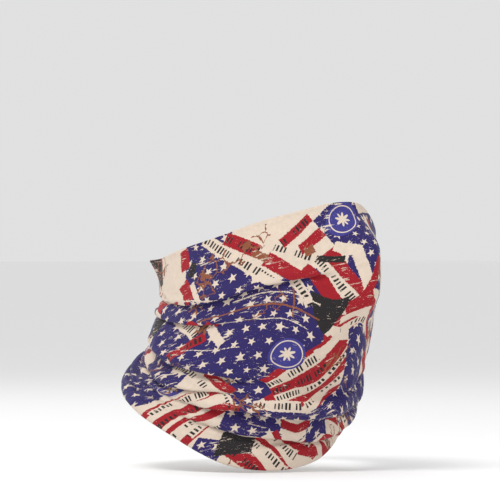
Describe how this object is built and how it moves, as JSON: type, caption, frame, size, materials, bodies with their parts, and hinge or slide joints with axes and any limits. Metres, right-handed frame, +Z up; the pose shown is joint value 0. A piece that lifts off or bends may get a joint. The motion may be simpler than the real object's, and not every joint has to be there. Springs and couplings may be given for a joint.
{
  "type": "neck gaiter",
  "caption": "Seamless stretch-knit neck tube worn up over the nose and bunched in soft folds round the neck, with plain cut edges and an allover stars-and-stripes print.",
  "frame": {"origin": "on the wearer's neck axis, level with the lowest point of the tube's lower edge", "axes": "+Z up along the neck, -Y forward out of the nose, -X to the wearer's right"},
  "size_m": [0.165, 0.2269, 0.1846],
  "materials": {
    "printed_knit": "matt jersey knit, printed outside, plain off-white inside"
  },
  "bodies": {
    "root": {"nose_and_cheek_panel": "printed_knit", "upper_cheek_roll": "printed_knit", "jaw_and_chin_drape": "printed_knit", "behind_jaw_roll": "printed_knit", "throat_overhang_fold": "printed_knit", "neck_gather_band": "printed_knit", "collar_rest_band": "printed_knit"}
  },
  "joints": []
}
